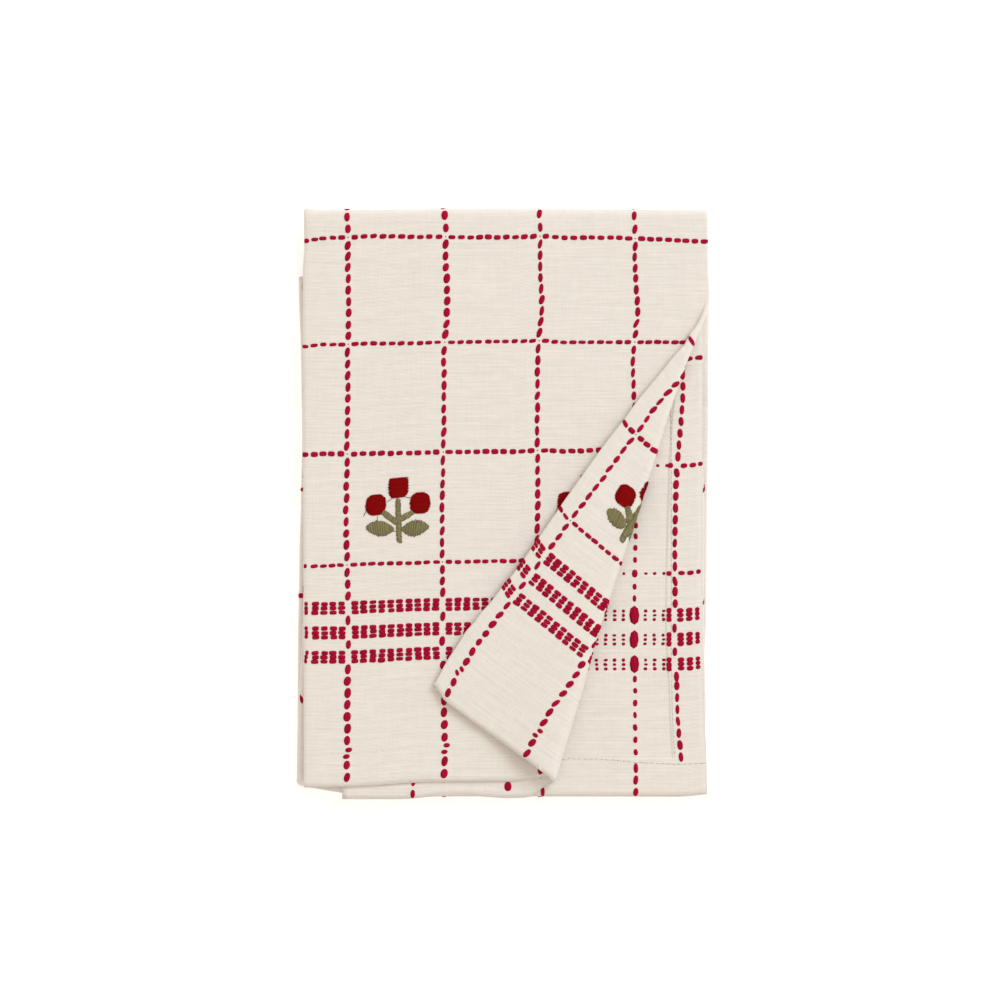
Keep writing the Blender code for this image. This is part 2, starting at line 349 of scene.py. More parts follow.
def roll_place(points):
    """How far points lie beyond the roll's line, how far along it, and how far it bows there."""
    place = points[:, :2] - ROLL_START
    along = place @ ROLL_LINE
    bow = follow(ROLL_BOW, np.clip(along, ROLL_BOW[0][0] * MM, ROLL_LENGTH))
    return place @ ROLL_SIDE + bow, along, bow


def turned_back(points, loose):
    """The points once the loose corner is rolled over its line and laid on the layer below."""
    side, along, bow = roll_place(points)
    moves = loose & (side > 0)
    inner, half = inner_radius(along), half_way_round(along)
    axis_level = FACE_LEVEL + inner
    radius = axis_level - points[:, 2]
    beyond = side - half
    turn = np.pi * np.clip(side / half, 0, 1)
    rolled = beyond < 0
    sink = 2 * np.maximum(inner - REST_RADIUS, 0) * ease(beyond / REST_REACH)
    new_side = np.where(rolled, radius * np.sin(turn), -beyond)
    spring = SPRING * np.sin(np.pi * np.clip(along / ROLL_LENGTH / 0.96, 0, 1))
    sink = sink - spring * ease(beyond / SPRING_REACH)
    level = np.where(rolled, axis_level - radius * np.cos(turn), axis_level + radius - sink)
    flat = ROLL_START + along[:, None] * ROLL_LINE + (new_side - bow)[:, None] * ROLL_SIDE
    turned = np.concatenate((flat, level[:, None]), 1)
    return np.where(moves[:, None], turned, points)


def swollen(points):
    """The stack is a little higher in some places than in others."""
    x, y, z = points.T
    waves = np.sin(x / SWELL_ACROSS + 0.6) * np.cos(y / SWELL_ALONG)
    above = np.maximum(z - SOLID_THICKNESS, 0)
    return np.stack((x, y, z + UNEVENNESS * waves * above), 1)


def folded_middle(u, v):
    return swollen(turned_back(*laid(u, v)))


def folded(u, v, lift=0.0):
    """Points at (u, v), lifted off the cloth's middle towards its face, as they lie."""
    step = 0.1 * MM
    across = folded_middle(u + step, v) - folded_middle(u - step, v)
    along = folded_middle(u, v + step) - folded_middle(u, v - step)
    out = np.cross(across, along)
    out /= np.linalg.norm(out, axis=1)[:, None]
    return folded_middle(u, v) + out * np.reshape(lift, (-1, 1))


# ---------------------------------------------------------------- settings


class TowelCloth(bpy.types.PropertyGroup):
    thickness: FloatProperty(
        name="Thickness", description="Thickness of a single layer", default=0.6 * MM, unit="LENGTH"
    )
    hem_extra: FloatProperty(
        name="Hem", description="How much thicker the hems are", default=0.35 * MM, unit="LENGTH"
    )
    colour: FloatVectorProperty(
        name="Cloth", description="Undyed yarn", subtype="COLOR", size=3, default=(0.833, 0.768, 0.692)
    )
    thread: FloatProperty(
        name="Thread", description="Spacing of the weft", default=0.56 * MM, unit="LENGTH"
    )


class TowelYarn(bpy.types.PropertyGroup):
    colour: FloatVectorProperty(
        name="Red yarn",
        description="Yarn of the checks",
        subtype="COLOR",
        size=3,
        default=(0.385, 0.004, 0.03),
    )
    upright_length: FloatProperty(
        name="Upright float", description="Length along the cloth", default=4.1 * MM, unit="LENGTH"
    )
    upright_width: FloatProperty(
        name="Upright width", description="Width of an upright float", default=2.15 * MM, unit="LENGTH"
    )
    cross_length: FloatProperty(
        name="Crosswise float", description="Length across the cloth", default=3.1 * MM, unit="LENGTH"
    )
    cross_width: FloatProperty(
        name="Crosswise width", description="Width of a crosswise float", default=1.9 * MM, unit="LENGTH"
    )
    height: FloatProperty(
        name="Height", description="How far a float stands proud", default=0.42 * MM, unit="LENGTH"
    )
    seed: IntProperty(name="Seed", description="Picks the yarn's unevenness", default=7)


class TowelThreads(bpy.types.PropertyGroup):
    blooms: FloatVectorProperty(
        name="Blooms", description="Red thread", subtype="COLOR", size=3, default=(0.262, 0.0025, 0.0028)
    )
    greens: FloatVectorProperty(
        name="Greens", description="Green thread", subtype="COLOR", size=3, default=(0.228, 0.2, 0.092)
    )
    hem: FloatVectorProperty(
        name="Hem", description="Thread of the hem", subtype="COLOR", size=3, default=(0.86, 0.80, 0.72)
    )
    seed: IntProperty(name="Seed", description="Picks the threads' unevenness", default=21)


class TowelStage(bpy.types.PropertyGroup):
    view_width: FloatProperty(
        name="View", description="Width that the camera sees", default=1000 / 2.38 * MM, unit="LENGTH"
    )
    distance: FloatProperty(
        name="Distance", description="Camera above the surface", default=2.4, unit="LENGTH"
    )
    floor: FloatVectorProperty(
        name="Floor",
        description="Surface under the towel",
        subtype="COLOR",
        size=3,
        default=(0.97, 0.97, 0.97),
    )
    glow: FloatProperty(name="Glow", description="Light from under the floor's glass", default=0.3)


# ---------------------------------------------------------------- mesh helpers


def link(mesh, name, material):
    piece = bpy.data.objects.new(name, mesh)
    bpy.context.scene.collection.objects.link(piece)
    mesh.materials.append(material)
    return piece


def yarn_form(rings, sides, power, slant=0.0):
    """A grain from -1 to 1 along X, with vertices and faces. A high power makes it squarer."""
    bm = bmesh.new()
    bmesh.ops.create_uvsphere(bm, u_segments=sides, v_segments=rings, radius=1.0)
    for vert in bm.verts:
        x, y, z = vert.co.z, vert.co.x, vert.co.y
        ring = math.hypot(y, z)
        slim = max(1 - abs(x) ** power, 0.0) ** (1 / power) / max(ring, 1e-6)
        vert.co = (x, y * slim + slant * x, z * slim * (1.0 if z > 0 else 0.55))
    bmesh.ops.recalc_face_normals(bm, faces=bm.faces)
    bm.verts.index_update()
    verts = np.array([vert.co for vert in bm.verts])
    faces = [[vert.index for vert in face.verts] for face in bm.faces]
    bm.free()
    return verts, faces


Placing = namedtuple("Placing", "u v angle length width height lift arch tone")


def joined_mesh(name, form, placing, side=1.0):
    """One mesh of the form at every placing, drawn flat and folded with the cloth."""
    verts, faces = form
    count = len(placing.u)
    columns = [np.broadcast_to(np.asarray(value, float), (count,))[:, None] for value in placing]
    u, v, angle, length, width, height, lift, arch, tone = columns
    x, y, z = verts.T[:, None, :]
    along, across = x * length / 2, y * width / 2
    flat_u = u + along * np.cos(angle) - across * np.sin(angle)
    flat_v = v + along * np.sin(angle) + across * np.cos(angle)
    rise = lift + z * height + arch * (1 - x * x)
    points = folded(flat_u.ravel(), flat_v.ravel(), side * rise.ravel())
    sizes = np.array([len(face) for face in faces])
    loops = np.array([index for face in faces for index in face])
    loops = (loops[None] + len(verts) * np.arange(count)[:, None]).ravel()
    mesh = bpy.data.meshes.new(name)
    mesh.vertices.add(len(points))
    mesh.vertices.foreach_set("co", points.astype(np.float32).ravel())
    mesh.loops.add(len(loops))
    mesh.loops.foreach_set("vertex_index", loops.astype(np.int32))
    sizes = np.tile(sizes, count)
    mesh.polygons.add(len(sizes))
    mesh.polygons.foreach_set("loop_start", np.concatenate(([0], np.cumsum(sizes)[:-1])).astype(np.int32))
    mesh.update(calc_edges=True)
    grain = mesh.uv_layers.new(name="grain")
    ends = np.tile(np.stack((verts[:, 0], verts[:, 1]), 1), (count, 1)) * 0.5 + 0.5
    grain.data.foreach_set("uv", ends[loops].astype(np.float32).ravel())
    shade = mesh.attributes.new("tone", "FLOAT", "POINT")
    shade.data.foreach_set("value", np.repeat(tone.ravel(), len(verts)).astype(np.float32))
    if side < 0:
        mesh.flip_normals()
    mesh.shade_smooth()
    return mesh


def chained(*placings):
    """Several placings as one."""
    counts = [len(placing.u) for placing in placings]
    fields = []
    for values in zip(*placings):
        spread = [np.broadcast_to(value, (count,)) for value, count in zip(values, counts)]
        fields.append(np.concatenate(spread))
    return Placing(*fields)


# ---------------------------------------------------------------- pattern


def upright_places():
    return UPRIGHTS.first + UPRIGHTS.spacing * np.arange(UPRIGHTS.count)


def both_ends(places):
    places = np.asarray(places)
    return np.concatenate((places, FLAT_LENGTH - places[::-1]))


def band_rows():
    return both_ends(sorted(centre + row for centre in BAND_CENTRES for row in BAND_ROWS))


def upright_centres():
    """V of the floats on an upright line, and of the dips between them."""
    step, clear = 4.95 * MM, 3.4 * MM
    floats = []
    for low, high in zip(CROSSWISE, CROSSWISE[1:]):
        count = round((high - low - 2 * clear) / step) + 1
        floats += list(np.linspace(low + clear, high - clear, count))
    end = np.array([89.6, 84.7, 79.8, 69.5, 59.1] + [48.5 - 5.02 * k for k in range(10)]) * MM
    far = FLAT_LENGTH - end
    far[:3] -= np.array((-3.4, -1.9, -0.6)) * MM
    return np.sort(np.concatenate((floats, end, far)))


def crosswise_centres():
    """U of the floats on a crosswise line."""
    clear = 2.75 * MM
    lines = upright_places()
    floats = []
    for low, high in zip(lines, lines[1:]):
        floats += list(np.linspace(low + clear, high - clear, 10))
    margin = lines[0] - clear - 3.83 * MM * np.arange(7)
    return np.sort(np.concatenate((floats, margin, FLAT_WIDTH - margin)))


def warp_stray(u, v):
    """How far the threads along the cloth stray from u at v, going by the lines on either side."""
    lines = []
    for line in range(UPRIGHTS.count):
        table = WARP_STRAY.get(line)
        if table is None:
            lines.append(0.5 * MM * np.sin(v / (41 * MM) + 2.1 * line))
        else:
            lines.append(np.interp(v / MM, WARP_STRAY_V, table) * MM)
    lines = np.array(lines)
    place = np.clip((u - UPRIGHTS.first) / UPRIGHTS.spacing, 0, UPRIGHTS.count - 1)
    low = np.minimum(place.astype(int), UPRIGHTS.count - 2)
    columns = np.arange(len(v))
    return mix(lines[low, columns], lines[low + 1, columns], place - low)


def weft_stray(u, v):
    """How far the threads across the cloth stray from v at u."""
    rows = np.array([np.interp(u / MM, WEFT_STRAY_U, row) for row in WEFT_STRAY])
    low = np.clip(np.searchsorted(WEFT_STRAY_V, v / MM, side="right") - 1, 0, len(rows) - 2)
    at = np.array(WEFT_STRAY_V, float)
    share = (v / MM - at[low]) / (at[low + 1] - at[low])
    columns = np.arange(len(u))
    return mix(rows[low, columns], rows[low + 1, columns], share) * MM


def woven(placing):
    """The placing moved with the threads that it is woven over."""
    u, v = np.broadcast_arrays(placing.u, placing.v)
    return placing._replace(u=u + warp_stray(u, v), v=v + weft_stray(u, v))


# ---------------------------------------------------------------- materials


EFFECT_OUTPUTS = {"Colour": "Color", "Height": "Float", "Roughness": "Float"}


def new_group(name, inputs):
    """An effect group with named inputs, and a colour, a height and a roughness to feed."""
    group = bpy.data.node_groups.new(name, "ShaderNodeTree")
    for sockets, way in ((inputs, "INPUT"), (EFFECT_OUTPUTS, "OUTPUT")):
        for label, kind in sockets.items():
            group.interface.new_socket(label, in_out=way, socket_type="NodeSocket" + kind)
    return group, group.nodes.new("NodeGroupInput"), group.nodes.new("NodeGroupOutput")


def math_node(tree, operation, first, second=None):
    node = tree.nodes.new("ShaderNodeMath")
    node.operation = operation
    for socket, value in zip(node.inputs, (first, second)):
        if isinstance(value, (int, float)):
            socket.default_value = value
        elif value is not None:
            tree.links.new(value, socket)
    return node.outputs[0]


def stretched_noise(tree, vector, stretch, detail=2.0, roughness=0.55):
    """Noise on a vector scaled by (x, y) per millimetre."""
    mapping = tree.nodes.new("ShaderNodeMapping")
    mapping.inputs["Scale"].default_value = (*stretch, 1.0)
    tree.links.new(vector, mapping.inputs["Vector"])
    noise = tree.nodes.new("ShaderNodeTexNoise")
    noise.inputs["Scale"].default_value = 1.0
    noise.inputs["Detail"].default_value = detail
    noise.inputs["Roughness"].default_value = roughness
    tree.links.new(mapping.outputs[0], noise.inputs["Vector"])
    return noise.outputs["Fac"]


def remap(tree, value, low, high, to_low=0.0, to_high=1.0):
    node = tree.nodes.new("ShaderNodeMapRange")
    limits = {"From Min": low, "From Max": high, "To Min": to_low, "To Max": to_high}
    for label, number in limits.items():
        node.inputs[label].default_value = number
    tree.links.new(value, node.inputs["Value"])
    return node.outputs[0]


def toned(tree, colour, tone):
    """The colour made lighter or darker."""
    node = tree.nodes.new("ShaderNodeMix")
    node.data_type = "RGBA"
    node.blend_type = "MULTIPLY"
    node.inputs["Factor"].default_value = 1.0
    tree.links.new(colour, node.inputs[6])
    tree.links.new(tone, node.inputs[7])
    return node.outputs[2]


def half_waves(tree, value):
    """Rounded ribs, one for each whole step of value."""
    return math_node(tree, "ABSOLUTE", math_node(tree, "SINE", math_node(tree, "MULTIPLY", value, math.pi)))


def weave_group():
    """Plain weave with slubs and flecks, and painted shade in the valleys between its threads, on a vector
    in millimetres along the threads.
    """
    group, start, end = new_group("weave", {"Threads": "Vector", "Yarn": "Color", "Spacing": "Float"})
    threads = start.outputs["Threads"]
    split = group.nodes.new("ShaderNodeSeparateXYZ")
    drift = stretched_noise(group, threads, (0.05, 0.11), 3.0)
    group.links.new(threads, split.inputs[0])
    row = math_node(group, "DIVIDE", split.outputs["Y"], start.outputs["Spacing"])
    row = math_node(group, "ADD", row, remap(group, drift, 0.0, 1.0, 0.0, 0.4))
    column = math_node(group, "DIVIDE", split.outputs["X"], start.outputs["Spacing"])
    shift = math_node(group, "MULTIPLY", math_node(group, "FLOOR", row), 0.5)
    weft = half_waves(group, row)
    over = math_node(group, "MULTIPLY", math_node(group, "ADD", column, shift), 2 * math.pi)
    over = remap(group, math_node(group, "SINE", over), -1.0, 1.0, 0.7, 1.0)
    ribs = math_node(group, "MULTIPLY", weft, over)
    slub = remap(group, stretched_noise(group, threads, (0.035, 1.25), 3.0, 0.7), 0.3, 0.7)
    warp_streak = remap(group, stretched_noise(group, threads, (1.3, 0.05), 2.0), 0.3, 0.7)
    cloud = remap(group, stretched_noise(group, threads, (0.2, 0.3), 3.0), 0.3, 0.7)
    height = math_node(group, "ADD", ribs, math_node(group, "MULTIPLY", slub, 0.9))
    height = math_node(group, "ADD", height, math_node(group, "MULTIPLY", warp_streak, 0.35))
    fleck = remap(group, stretched_noise(group, threads, (1.1, 1.5), 1.0), 0.77, 0.84)
    # The ribs darken the yarn's colour in their valleys: painted shade between the threads, besides their
    # bump.
    tone = remap(group, ribs, 0.0, 0.65, 0.89, 1.0)
    for pattern, low, high in (
        (slub, 0.918, 1.032),
        (warp_streak, 0.975, 1.01),
        (cloud, 0.97, 1.015),
        (fleck, 1.0, 0.72),
    ):
        tone = math_node(group, "MULTIPLY", tone, remap(group, pattern, 0.0, 1.0, low, high))
    group.links.new(toned(group, start.outputs["Yarn"], tone), end.inputs["Colour"])
    group.links.new(height, end.inputs["Height"])
    group.links.new(remap(group, slub, 0.0, 1.0, 0.82, 0.95), end.inputs["Roughness"])
    return group


def yarn_group():
    """Loose plies along a grain of yarn, with painted shade between the plies and a painted highlight on
    their crowns, and each grain a little lighter or darker.
    """
    group, start, end = new_group(
        "plies", {"Grain": "Vector", "Tone": "Float", "Yarn": "Color", "Plies": "Float"}
    )
    split = group.nodes.new("ShaderNodeSeparateXYZ")
    group.links.new(start.outputs["Grain"], split.inputs[0])
    slant = math_node(group, "MULTIPLY", split.outputs["X"], 0.4)
    twist = math_node(group, "ADD", split.outputs["Y"], slant)
    twist = math_node(group, "MULTIPLY", twist, start.outputs["Plies"])
    ply = half_waves(group, twist)
    # Between the plies the yarn's colour is darkened, and on their crowns lightened past it: painted shade
    # and painted highlight.
    tone = math_node(group, "MULTIPLY", remap(group, ply, 0.0, 1.0, 0.72, 1.09), start.outputs["Tone"])
    group.links.new(toned(group, start.outputs["Yarn"], tone), end.inputs["Colour"])
    group.links.new(ply, end.inputs["Height"])
    group.links.new(remap(group, ply, 0.0, 1.0, 0.85, 0.6), end.inputs["Roughness"])
    return group


def material_with(name, group, feeds, finish):
    """A Principled material fed by an effect group. feeds gives the group's own inputs."""
    material = bpy.data.materials.new(name)
    material.use_nodes = True
    tree = material.node_tree
    shader = tree.nodes["Principled BSDF"]
    effect = tree.nodes.new("ShaderNodeGroup")
    effect.node_tree = group
    for label, feed in feeds(tree).items():
        if hasattr(feed, "links"):
            tree.links.new(feed, effect.inputs[label])
        else:
            effect.inputs[label].default_value = feed
    relief = tree.nodes.new("ShaderNodeBump")
    relief.inputs["Strength"].default_value = finish.relief
    relief.inputs["Distance"].default_value = finish.depth
    tree.links.new(effect.outputs["Height"], relief.inputs["Height"])
    tree.links.new(relief.outputs["Normal"], shader.inputs["Normal"])
    tree.links.new(effect.outputs["Colour"], shader.inputs["Base Color"])
    tree.links.new(effect.outputs["Roughness"], shader.inputs["Roughness"])
    shader.inputs["Sheen Weight"].default_value = finish.sheen
    shader.inputs["Sheen Roughness"].default_value = 0.5
    shader.inputs["Specular IOR Level"].default_value = finish.specular
    return material


Finish = namedtuple("Finish", "relief depth sheen specular")
CLOTH_FINISH = Finish(0.5, 0.15 * MM, 0.1, 0.12)
YARN_FINISH = Finish(0.7, 0.14 * MM, 0.0, 0.03)


def group_named(name, build):
    return bpy.data.node_groups.get(name) or build()


def cloth_material():
    settings = bpy.context.scene.towel_cloth

    def feeds(tree):
        flat = tree.nodes.new("ShaderNodeUVMap")
        flat.uv_map = "flat"
        scale = tree.nodes.new("ShaderNodeVectorMath")
        scale.operation = "SCALE"
        scale.inputs["Scale"].default_value = 1 / MM
        tree.links.new(flat.outputs[0], scale.inputs[0])
        return {
            "Threads": scale.outputs[0],
            "Yarn": (*settings.colour, 1.0),
            "Spacing": settings.thread / MM,
        }

    return material_with("cloth", group_named("weave", weave_group), feeds, CLOTH_FINISH)


def yarn_material(name, colour, plies):
    def feeds(tree):
        grain = tree.nodes.new("ShaderNodeUVMap")
        grain.uv_map = "grain"
        tone = tree.nodes.new("ShaderNodeAttribute")
        tone.attribute_name = "tone"
        return {
            "Grain": grain.outputs[0],
            "Tone": tone.outputs["Fac"],
            "Yarn": (*colour, 1.0),
            "Plies": float(plies),
        }

    return material_with(name, group_named("plies", yarn_group), feeds, YARN_FINISH)


# ---------------------------------------------------------------- cloth


def hem_cells(edge, before):
    """The cells before a hem's inner edge, and fine ones over its step in thickness."""
    steps = zip((-0.7, -0.15, 0.15, 0.7), (before, 1, 1, 1))
    return [(edge + step * MM, cells) for step, cells in steps]


# Where each stretch of the cloth's grid ends, and how many cells it has.
CLOTH_ACROSS = (
    *hem_cells(SIDE_HEM, 6),
    (ACROSS[1] - 10 * MM, 40),
    (ACROSS[1], 3),
    (ACROSS[2], 10),
    (ACROSS[3], 72),
    (ACROSS[4], 8),
    *hem_cells(FLAT_WIDTH - SIDE_HEM, 52),
    (FLAT_WIDTH, 5),
)
CLOTH_ALONG = (
    *hem_cells(HEM, 6),
    (ALONG[1], 92),
    (ALONG[2], 10),
    (ALONG[3], 14),
    (ALONG[4], 10),
    *hem_cells(FLAT_LENGTH - HEM, 26),
    (FLAT_LENGTH, 5),
)
# The part of the cloth that the roll's cuts may cross: right of this, and short of the top fold.
CUT_FROM = ACROSS[2] + 60 * MM
CUT_TO = ALONG[1] - 6 * MM


def grid_places(table):
    """The places of the grid's lines, from 0 through each stretch's end."""
    places, start = [], 0.0
    for end, cells in table:
        places += list(np.linspace(start, end, cells, endpoint=False))
        start = end
    return np.array(places + [start])


def fitted(u, rough_v):
    """V on each column that stands to its folds as rough_v does to the rough ones."""
    v = rough_v.copy()
    row = np.clip(np.searchsorted(ALONG, rough_v, side="right") - 1, 0, LAST_STRETCH)
    share = (rough_v - ALONG[row]) / (ALONG[row + 1] - ALONG[row])
    for _ in range(2):
        start, end = row_ends(fold_stations(u, v)[0], row)
        v = mix(start, end, share)
    return v


def cloth_grid():
    """The flat cloth as a bmesh grid that carries u, v and hem with each vertex."""
    columns, rows = grid_places(CLOTH_ACROSS), grid_places(CLOTH_ALONG)
    bm = bmesh.new()
    bmesh.ops.create_grid(bm, x_segments=len(columns) - 1, y_segments=len(rows) - 1, size=0.5)
    bm.verts.ensure_lookup_table()
    spot = np.array([vert.co for vert in bm.verts])
    column = np.rint((spot[:, 0] + 0.5) * (len(columns) - 1)).astype(int)
    row = np.rint((spot[:, 1] + 0.5) * (len(rows) - 1)).astype(int)
    u, rough_v = columns[column], rows[row]
    edge_u = np.minimum(u, FLAT_WIDTH - u) < SIDE_HEM
    near_edge = np.clip(np.minimum(u / SIDE_HEM, 2 - u / SIDE_HEM), 0, 1)
    u = u + near_edge * np.interp(rough_v / MM, SIDE_HEM_V, SIDE_HEM_STRAY) * MM
    v = fitted(u, rough_v)
    edge_v = np.minimum(rough_v, FLAT_LENGTH - rough_v) < HEM
    side, along, _bow = roll_place(laid(u, v)[0])
    layers = [bm.verts.layers.float.new(name) for name in ("u", "v", "hem")]
    places = zip(bm.verts, side / half_way_round(along), along, u, v, (edge_u | edge_v).astype(float))
    for vert, turn, reach, *values in places:
        vert.co = (turn, reach, 0)
        for layer, value in zip(layers, values):
            vert[layer] = value
    return bm, layers


def crease_corner(bm, u_layer, v_layer):
    """Cuts grid lines along the roll, so that it bends without facets across it.

    Until the cloth is folded, its vertices stand at their share of the way round the roll.
    """
    for cut in ROLL_CUTS:
        faces = []
        for face in bm.faces:
            vert = face.verts[0]
            if vert[u_layer] < CUT_FROM or vert[v_layer] > CUT_TO:
                continue
            turns = [vert.co.x for vert in face.verts]
            if min(turns) < cut < max(turns):
                faces.append(face)
        edges = {edge for face in faces for edge in face.edges}
        verts = {vert for face in faces for vert in face.verts}
        geom = faces + list(edges) + list(verts)
        bmesh.ops.bisect_plane(bm, geom=geom, dist=0.01, plane_co=(cut, 0, 0), plane_no=(1, 0, 0))


def cloth_mesh(extra):
    bm, (u_layer, v_layer, hem_layer) = cloth_grid()
    crease_corner(bm, u_layer, v_layer)
    bm.verts.ensure_lookup_table()
    u = np.array([vert[u_layer] for vert in bm.verts])
    v = np.array([vert[v_layer] for vert in bm.verts])
    hem = np.array([vert[hem_layer] for vert in bm.verts])
    for vert, point in zip(bm.verts, folded(u, v, -hem * extra / 2)):
        vert.co = point
    flat = bm.loops.layers.uv.new("flat")
    for face in bm.faces:
        for loop in face.loops:
            loop[flat].uv = (loop.vert[u_layer], loop.vert[v_layer])
    mesh = bpy.data.meshes.new("towel_cloth")
    bm.to_mesh(mesh)
    bm.free()
    return mesh, hem


class TOWEL_OT_cloth(bpy.types.Operator):
    """Weave and fold the cloth, with its hems"""

    bl_idname = "towel.cloth"
    bl_label = "Cloth"

    def execute(self, context):
        settings = context.scene.towel_cloth
        mesh, hem = cloth_mesh(settings.hem_extra)
        cloth = link(mesh, "towel_cloth", cloth_material())
        mesh.shade_smooth()
        group = cloth.vertex_groups.new(name="hem")
        group.add([int(index) for index in np.flatnonzero(hem > 0.5)], 1.0, "REPLACE")
        wall = cloth.modifiers.new("wall", "SOLIDIFY")
        wall.thickness = settings.thickness + settings.hem_extra
        wall.offset = 0.0
        wall.vertex_group = "hem"
        wall.thickness_vertex_group = settings.thickness / wall.thickness
        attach(cloth, "root")
        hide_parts("towel")
        return {"FINISHED"}


# ---------------------------------------------------------------- red yarn

# How thick the yarn of each upright line is near its first end, further on, and past that.
BULK_V = (60, 125, 160, 215)
PLAIN_BULK = (1.0, 1.0, 1.0, 1.0)
UPRIGHT_BULK = {
    1: (1.1, 1.05, 1.0, 1.0),
    3: (1.05, 1.0, 1.0, 1.05),
    4: (1.24, 1.28, 1.28, 1.3),
    5: (1.2, 1.02, 1.1, 1.42),
    6: (1.2, 1.24, 1.15, 1.06),
    7: (1.18, 1.15, 1.1, 1.07),
    10: (1.2, 1.1, 1.0, 1.0),
}
HEM_LINE_BULK = (1.08, 1.25, 1.08, 1.05)
CROSSWISE_BULK = (1.0, 1.28, 0.97, 1.14)


def hem_bulk(v):
    """Yarn is beaten up thicker near the hems."""
    from_end = np.minimum(v, FLAT_LENGTH - v)
    return mix(1.22, 1.0, ease((from_end - 40 * MM) / (25 * MM)))


def uneven(rng, count, spread):
    return 1 + spread * np.clip(rng.standard_normal(count), -2, 2)


def red_piece(name, form, placing, side=1.0):
    colour = bpy.context.scene.towel_yarn.colour
    material = bpy.data.materials.get("red_yarn") or yarn_material("red_yarn", colour, 3)
    piece = link(joined_mesh(name, form, placing, side), name, material)
    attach(piece, "root")


def only(placing, chosen):
    """The chosen forms of a placing."""
    return Placing(*[values[chosen] for values in placing])


def split_at_stitches(placing):
    """Each float that the hem's stitches cross is drawn in to two short ones."""
    from_end = np.minimum(placing.v, FLAT_LENGTH - placing.v)
    crossed = np.abs(from_end - STITCH_INSET) < 2.2 * MM
    whole = only(placing, crossed)
    halves = [
        whole._replace(u=whole.u + shift * 0.35, v=whole.v + shift, length=whole.length * 0.46)
        for shift in (-1.35 * MM, 1.35 * MM)
    ]
    return chained(only(placing, ~crossed), *halves)


def upright_floats(yarn, rng, surface):
    """Floats along the cloth, one line after another."""
    rows = []
    for line, place in enumerate(upright_places()):
        v = upright_centres()
        count = len(v)
        bulk = np.interp(v / MM, BULK_V, UPRIGHT_BULK.get(line, PLAIN_BULK))
        rows.append(
            Placing(
                u=place + 0.1 * MM * rng.standard_normal(count),
                v=v + 0.1 * MM * rng.standard_normal(count),
                angle=math.pi / 2 - 0.04 + 0.08 * rng.standard_normal(count),
                length=yarn.upright_length * uneven(rng, count, 0.05),
                width=yarn.upright_width * bulk * hem_bulk(v) * uneven(rng, count, 0.08),
                height=yarn.height * uneven(rng, count, 0.1),
                lift=surface,
                arch=0.0,
                tone=uneven(rng, count, 0.06),
            )
        )
    return woven(split_at_stitches(chained(*rows)))


def crossing_shade_specks(surface):
    """The glimpse of both yarns in the gap where two lines cross, drawn dark red: painted shade in the gap.
    """
    u, v = (places.ravel() for places in np.meshgrid(upright_places(), CROSSWISE))
    size = 0.55 * MM
    # Tone 0.3 darkens the yarn there to painted shade.
    shade_specks = Placing(
        u=u, v=v, angle=0.8, length=size, width=size, height=0.15 * MM, lift=surface, arch=0.0, tone=0.3
    )
    return woven(shade_specks)


def shown(placing):
    """The placing without the floats that the weave hides."""
    kept = np.ones(len(placing.u), bool)
    for low_u, high_u, low_v, high_v in np.array(SUNK) * MM:
        inside = (placing.u > low_u) & (placing.u < high_u) & (placing.v > low_v) & (placing.v < high_v)
        kept &= ~inside
    return only(placing, kept)


def crosswise_row(yarn, rng, surface, v, wide=1.0):
    u = crosswise_centres()
    count = len(u)
    short = (np.abs(u - SHORT_AT) < SHORT_REACH) & (v < SHORT_TO)
    if v == CROSSWISE[PULLED_ROW]:
        pulled = np.abs(u - SHORT_AT) < PULLED_REACH
        u = u + PULLED_BY * pulled
        short = short | pulled
        wide = wide * np.where(pulled, PULLED_SPREAD, 1.0)
    row = Placing(
        u=u + 0.12 * MM * rng.standard_normal(count),
        v=v + 0.06 * MM * rng.standard_normal(count),
        angle=0.05 * rng.standard_normal(count),
        length=yarn.cross_length * uneven(rng, count, 0.05) * np.where(short, SHORT_LENGTH, 1.0),
        width=yarn.cross_width * wide * uneven(rng, count, 0.08),
        height=yarn.height * uneven(rng, count, 0.1),
        lift=surface,
        arch=0.0,
        tone=uneven(rng, count, 0.06),
    )
    return woven(row)


class TOWEL_OT_checks(bpy.types.Operator):
    """Float red yarn over the cloth's face in checks"""

    bl_idname = "towel.checks"
    bl_label = "Checks"

    def execute(self, context):
        yarn = context.scene.towel_yarn
        rng = np.random.default_rng(yarn.seed)
        surface = context.scene.towel_cloth.thickness / 2
        uprights = chained(upright_floats(yarn, rng, surface), crossing_shade_specks(surface))
        red_piece("upright_checks", yarn_form(6, 6, 2.1, -0.12), uprights)
        rows = [
            crosswise_row(yarn, rng, surface, v, CROSSWISE_BULK[row % len(CROSSWISE_BULK)])
            for row, v in enumerate(CROSSWISE)
        ]
        red_piece("crosswise_checks", yarn_form(6, 6, 3.0), shown(chained(*rows)))
        return {"FINISHED"}


class TOWEL_OT_border(bpy.types.Operator):
    """Float the triple rows of the border at both ends"""

    bl_idname = "towel.border"
    bl_label = "Border"

    def execute(self, context):
        yarn = context.scene.towel_yarn
        rng = np.random.default_rng(yarn.seed + 1)
        surface = context.scene.towel_cloth.thickness / 2
        rows = [crosswise_row(yarn, rng, surface, v, 1.08) for v in band_rows()]
        red_piece("border_rows", yarn_form(6, 6, 3.6), shown(chained(*rows)))
        return {"FINISHED"}


def dips_between(centres, longest):
    """Middles of the gaps between neighbours, leaving out those wider than longest."""
    gaps = np.diff(centres)
    return (centres[:-1] + gaps / 2)[gaps < longest]


NEAR_SLIP = 1.75 * MM  # of the first line's floats next to the hem
NEAR_SLIP_TO = 50 * MM


